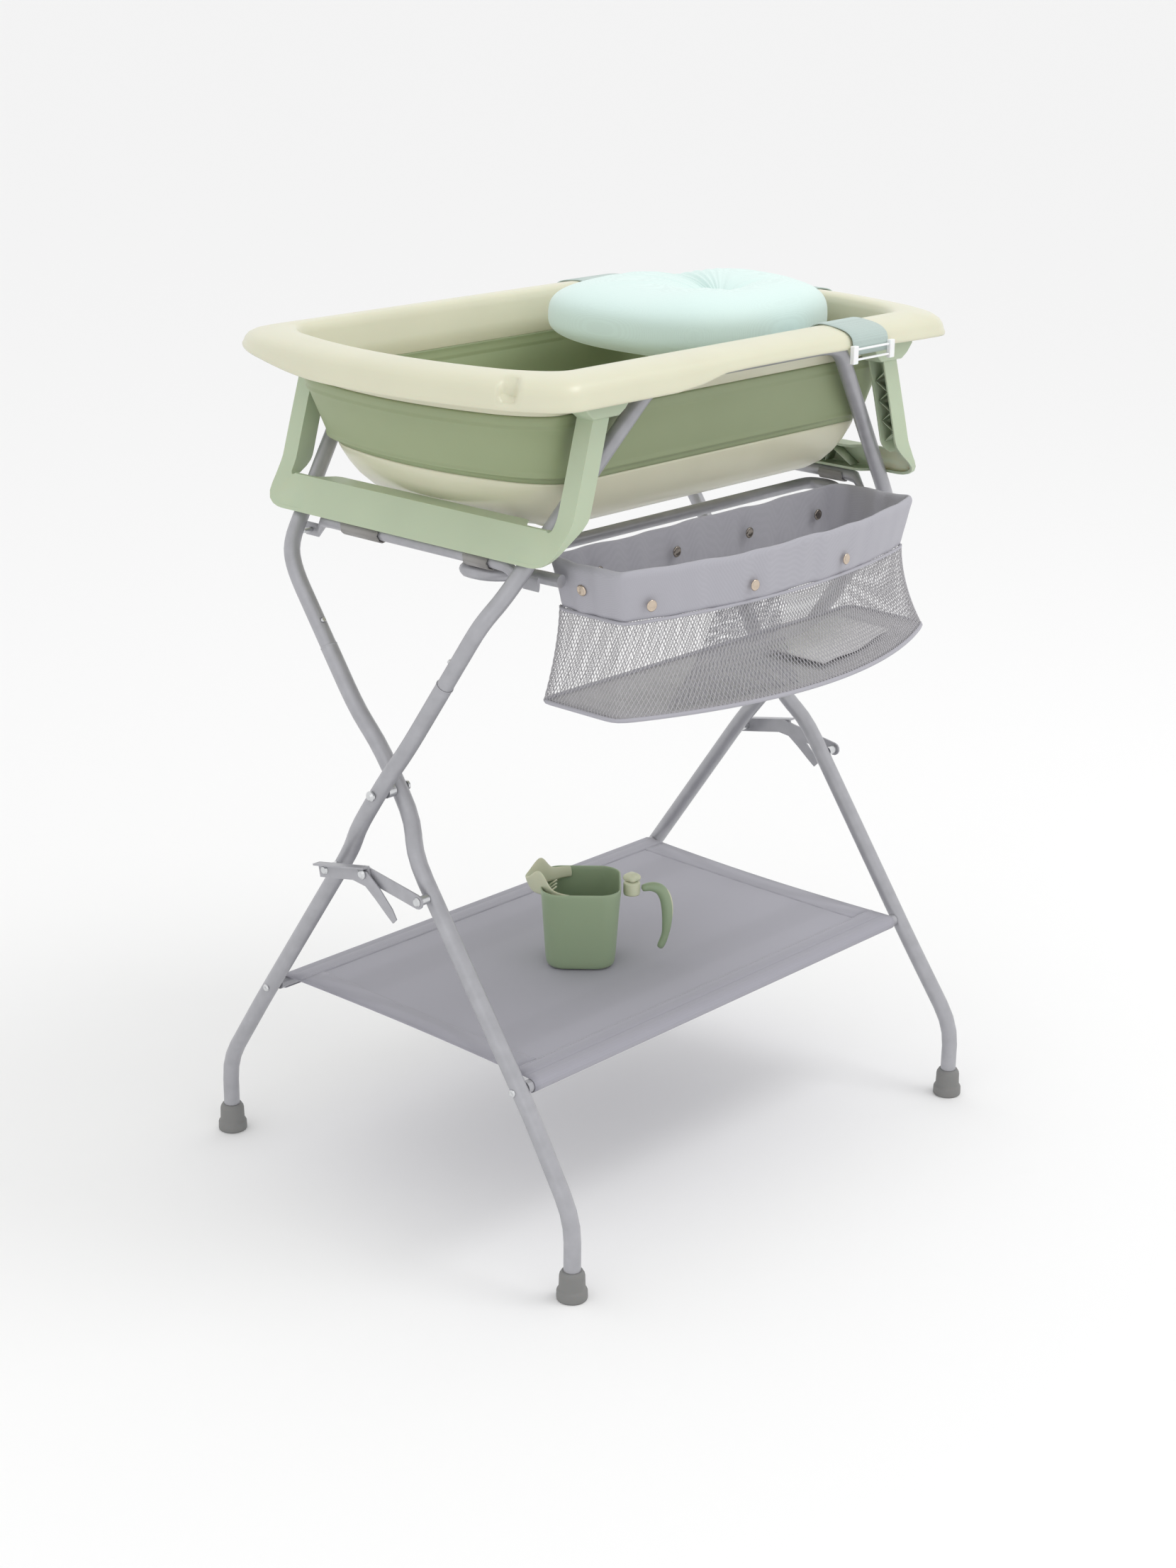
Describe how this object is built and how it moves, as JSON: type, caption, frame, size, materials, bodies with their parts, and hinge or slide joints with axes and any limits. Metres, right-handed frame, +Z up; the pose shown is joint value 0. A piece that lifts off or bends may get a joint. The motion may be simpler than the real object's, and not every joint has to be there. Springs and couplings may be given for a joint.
{
  "type": "folding baby bath and changing stand",
  "caption": "Folding X-leg tube stand with a collapsible silicone-walled baby bath, padded rest, hanging fabric basket, low shelf and rinse jug.",
  "frame": {"origin": "centre of the bounding box on the floor", "axes": "+Z up, +X towards the padded rest's end of the tub, -Y towards the basket side"},
  "size_m": [0.8034, 0.6648, 1.055],
  "materials": {
    "satin_tube": "satin",
    "zinc": "satin",
    "foot_rubber": "matte",
    "tub_cream": "satin",
    "tub_green": "satin",
    "silicone_green": "matte",
    "cushion_fabric": "matte",
    "strap_webbing": "matte",
    "clip_white": "satin",
    "basket_fabric": "matte",
    "shelf_fabric": "matte",
    "jug_green": "satin",
    "jug_pale": "satin",
    "velcro": "matte"
  },
  "bodies": {
    "frame_a": {"leg_a_lower_left": "satin_tube", "leg_a_lower_right": "satin_tube", "hoop_a": "satin_tube", "shelf_tube_front": "satin_tube", "foot_front_left": "foot_rubber", "foot_front_right": "foot_rubber", "pivot_bolt_left": "zinc", "pivot_bolt_right": "zinc", "lock_pin_a_left": "zinc", "lock_pin_a_right": "zinc", "shelf_panel": "shelf_fabric"},
    "frame_b": {"leg_b_lower_left": "satin_tube", "leg_b_lower_right": "satin_tube", "hoop_b": "satin_tube", "shelf_tube_back": "satin_tube", "foot_back_left": "foot_rubber", "foot_back_right": "foot_rubber", "lock_pin_b_left": "zinc", "lock_pin_b_right": "zinc"},
    "pin_a_left": {"spring_pin_a_left": "zinc"},
    "pin_a_right": {"spring_pin_a_right": "zinc"},
    "pin_b_left": {"spring_pin_b_left": "zinc"},
    "pin_b_right": {"spring_pin_b_right": "zinc"},
    "link_one_left": {"lock_channel_left": "satin_tube", "lock_latch_left": "satin_tube", "lock_bolt_left": "zinc"},
    "link_two_left": {"lock_link_left": "satin_tube"},
    "link_one_right": {"lock_channel_right": "satin_tube", "lock_latch_right": "satin_tube", "lock_bolt_right": "zinc"},
    "link_two_right": {"lock_link_right": "satin_tube"},
    "tray": {"end_bar_left": "satin_tube", "end_bar_right": "satin_tube", "hanger_rail": "satin_tube", "tray_pin_left": "zinc", "tray_pin_right": "zinc", "strap_roll_left_1": "velcro", "strap_roll_left_2": "velcro", "strap_roll_right_1": "velcro", "strap_roll_right_2": "velcro", "basket_cuff": "basket_fabric", "basket_bag": "basket_fabric"},
    "tub": {"tub_rim": "tub_cream", "tub_wall": "silicone_green"},
    "bowl": {"tub_bowl": "tub_cream"},
    "tub_legs_left": {"tub_leg_left": "tub_green"},
    "tub_legs_right": {"tub_leg_right": "tub_green"},
    "rest": {"cushion": "cushion_fabric", "strap_front": "strap_webbing", "strap_back": "strap_webbing", "strap_head": "strap_webbing", "strap_clip_front": "clip_white", "strap_clip_back": "clip_white", "strap_clip_head": "clip_white"},
    "jug": {"jug_body": "jug_green", "jug_spout": "jug_pale", "jug_hub": "jug_pale"},
    "jug_knob": {"jug_knob": "jug_green"},
    "jug_handle": {"jug_handle": "jug_green"}
  },
  "joints": [
    {"name": "stand_fold", "type": "hinge", "parent": "frame_a", "child": "frame_b", "pos_m": [-0.00475, 0.0146, 0.529], "axis": [-1, 0, 0], "range_deg": [0, 46], "deforming": ["shelf_panel"]},
    {"name": "link_one_fold_left", "type": "hinge", "parent": "frame_b", "child": "link_one_left", "pos_m": [-0.38875, 0.0901, 0.4215], "axis": [-1, 0, 0], "range_deg": [0, 53.7]},
    {"name": "link_two_fold_left", "type": "hinge", "parent": "frame_a", "child": "link_two_left", "pos_m": [-0.38575, -0.0619, 0.4225], "axis": [1, 0, 0], "range_deg": [0, 19.8]},
    {"name": "link_one_fold_right", "type": "hinge", "parent": "frame_b", "child": "link_one_right", "pos_m": [0.37925, 0.0901, 0.4215], "axis": [-1, 0, 0], "range_deg": [0, 53.7]},
    {"name": "link_two_fold_right", "type": "hinge", "parent": "frame_a", "child": "link_two_right", "pos_m": [0.37625, -0.0619, 0.4225], "axis": [1, 0, 0], "range_deg": [0, 19.8]},
    {"name": "tray_fold", "type": "hinge", "parent": "frame_a", "child": "tray", "pos_m": [-0.00475, 0.1906, 0.795], "axis": [1, 0, 0], "range_deg": [0, 32]},
    {"name": "tub_lift", "type": "slide", "parent": "frame_a", "child": "tub", "axis": [0, 0, 1], "range_m": [0, 1.4]},
    {"name": "bowl_collapse", "type": "slide", "parent": "tub", "child": "bowl", "axis": [0, 0, 1], "range_m": [0, 0.065], "deforming": ["tub_wall"]},
    {"name": "rest_lift", "type": "slide", "parent": "tub", "child": "rest", "axis": [0, 0, 1], "range_m": [0, 0.16]},
    {"name": "tub_leg_fold_left", "type": "hinge", "parent": "tub", "child": "tub_legs_left", "pos_m": [-0.25475, 0.0146, 0.99], "axis": [0, -1, 0], "range_deg": [0, 60]},
    {"name": "tub_leg_fold_right", "type": "hinge", "parent": "tub", "child": "tub_legs_right", "pos_m": [0.24525, 0.0146, 0.99], "axis": [0, 1, 0], "range_deg": [0, 60]},
    {"name": "jug_take", "type": "slide", "parent": "frame_a", "child": "jug", "axis": [0, -1, 0], "range_m": [0, 0.25]},
    {"name": "jug_handle_swing", "type": "hinge", "parent": "jug", "child": "jug_handle", "pos_m": [-0.00711, -0.04677, 0.3288], "axis": [0, 0, 1], "range_deg": [-25, 25]},
    {"name": "jug_knob_turn", "type": "hinge", "parent": "jug", "child": "jug_knob", "pos_m": [-0.00711, -0.04677, 0.3381], "axis": [0, 0, 1], "range_deg": [0, 90]},
    {"name": "pin_a_press_left", "type": "slide", "parent": "frame_a", "child": "pin_a_left", "axis": [0, 0.8192, -0.5735], "range_m": [0, 0.0024], "stiffness_N_per_m": 600},
    {"name": "pin_a_press_right", "type": "slide", "parent": "frame_a", "child": "pin_a_right", "axis": [0, 0.8192, -0.5735], "range_m": [0, 0.0024], "stiffness_N_per_m": 600},
    {"name": "pin_b_press_left", "type": "slide", "parent": "frame_b", "child": "pin_b_left", "axis": [0, -0.8192, -0.5735], "range_m": [0, 0.0024], "stiffness_N_per_m": 600},
    {"name": "pin_b_press_right", "type": "slide", "parent": "frame_b", "child": "pin_b_right", "axis": [0, -0.8192, -0.5735], "range_m": [0, 0.0024], "stiffness_N_per_m": 600}
  ],
  "couplings": [
    {"joint": "link_one_fold_left", "follows": "stand_fold", "ratio": 1.1674},
    {"joint": "link_two_fold_left", "follows": "stand_fold", "ratio": 0.43043},
    {"joint": "link_one_fold_right", "follows": "stand_fold", "ratio": 1.1674},
    {"joint": "link_two_fold_right", "follows": "stand_fold", "ratio": 0.43043},
    {"joint": "tray_fold", "follows": "stand_fold", "ratio": 0.69565},
    {"joint": "tub_lift", "follows": "stand_fold", "m_per_rad": 1.7438},
    {"joint": "bowl_collapse", "follows": "stand_fold", "m_per_rad": 0.08096},
    {"joint": "rest_lift", "follows": "stand_fold", "m_per_rad": 0.19929},
    {"joint": "tub_leg_fold_left", "follows": "stand_fold", "ratio": 1.3043},
    {"joint": "tub_leg_fold_right", "follows": "stand_fold", "ratio": 1.3043}
  ]
}
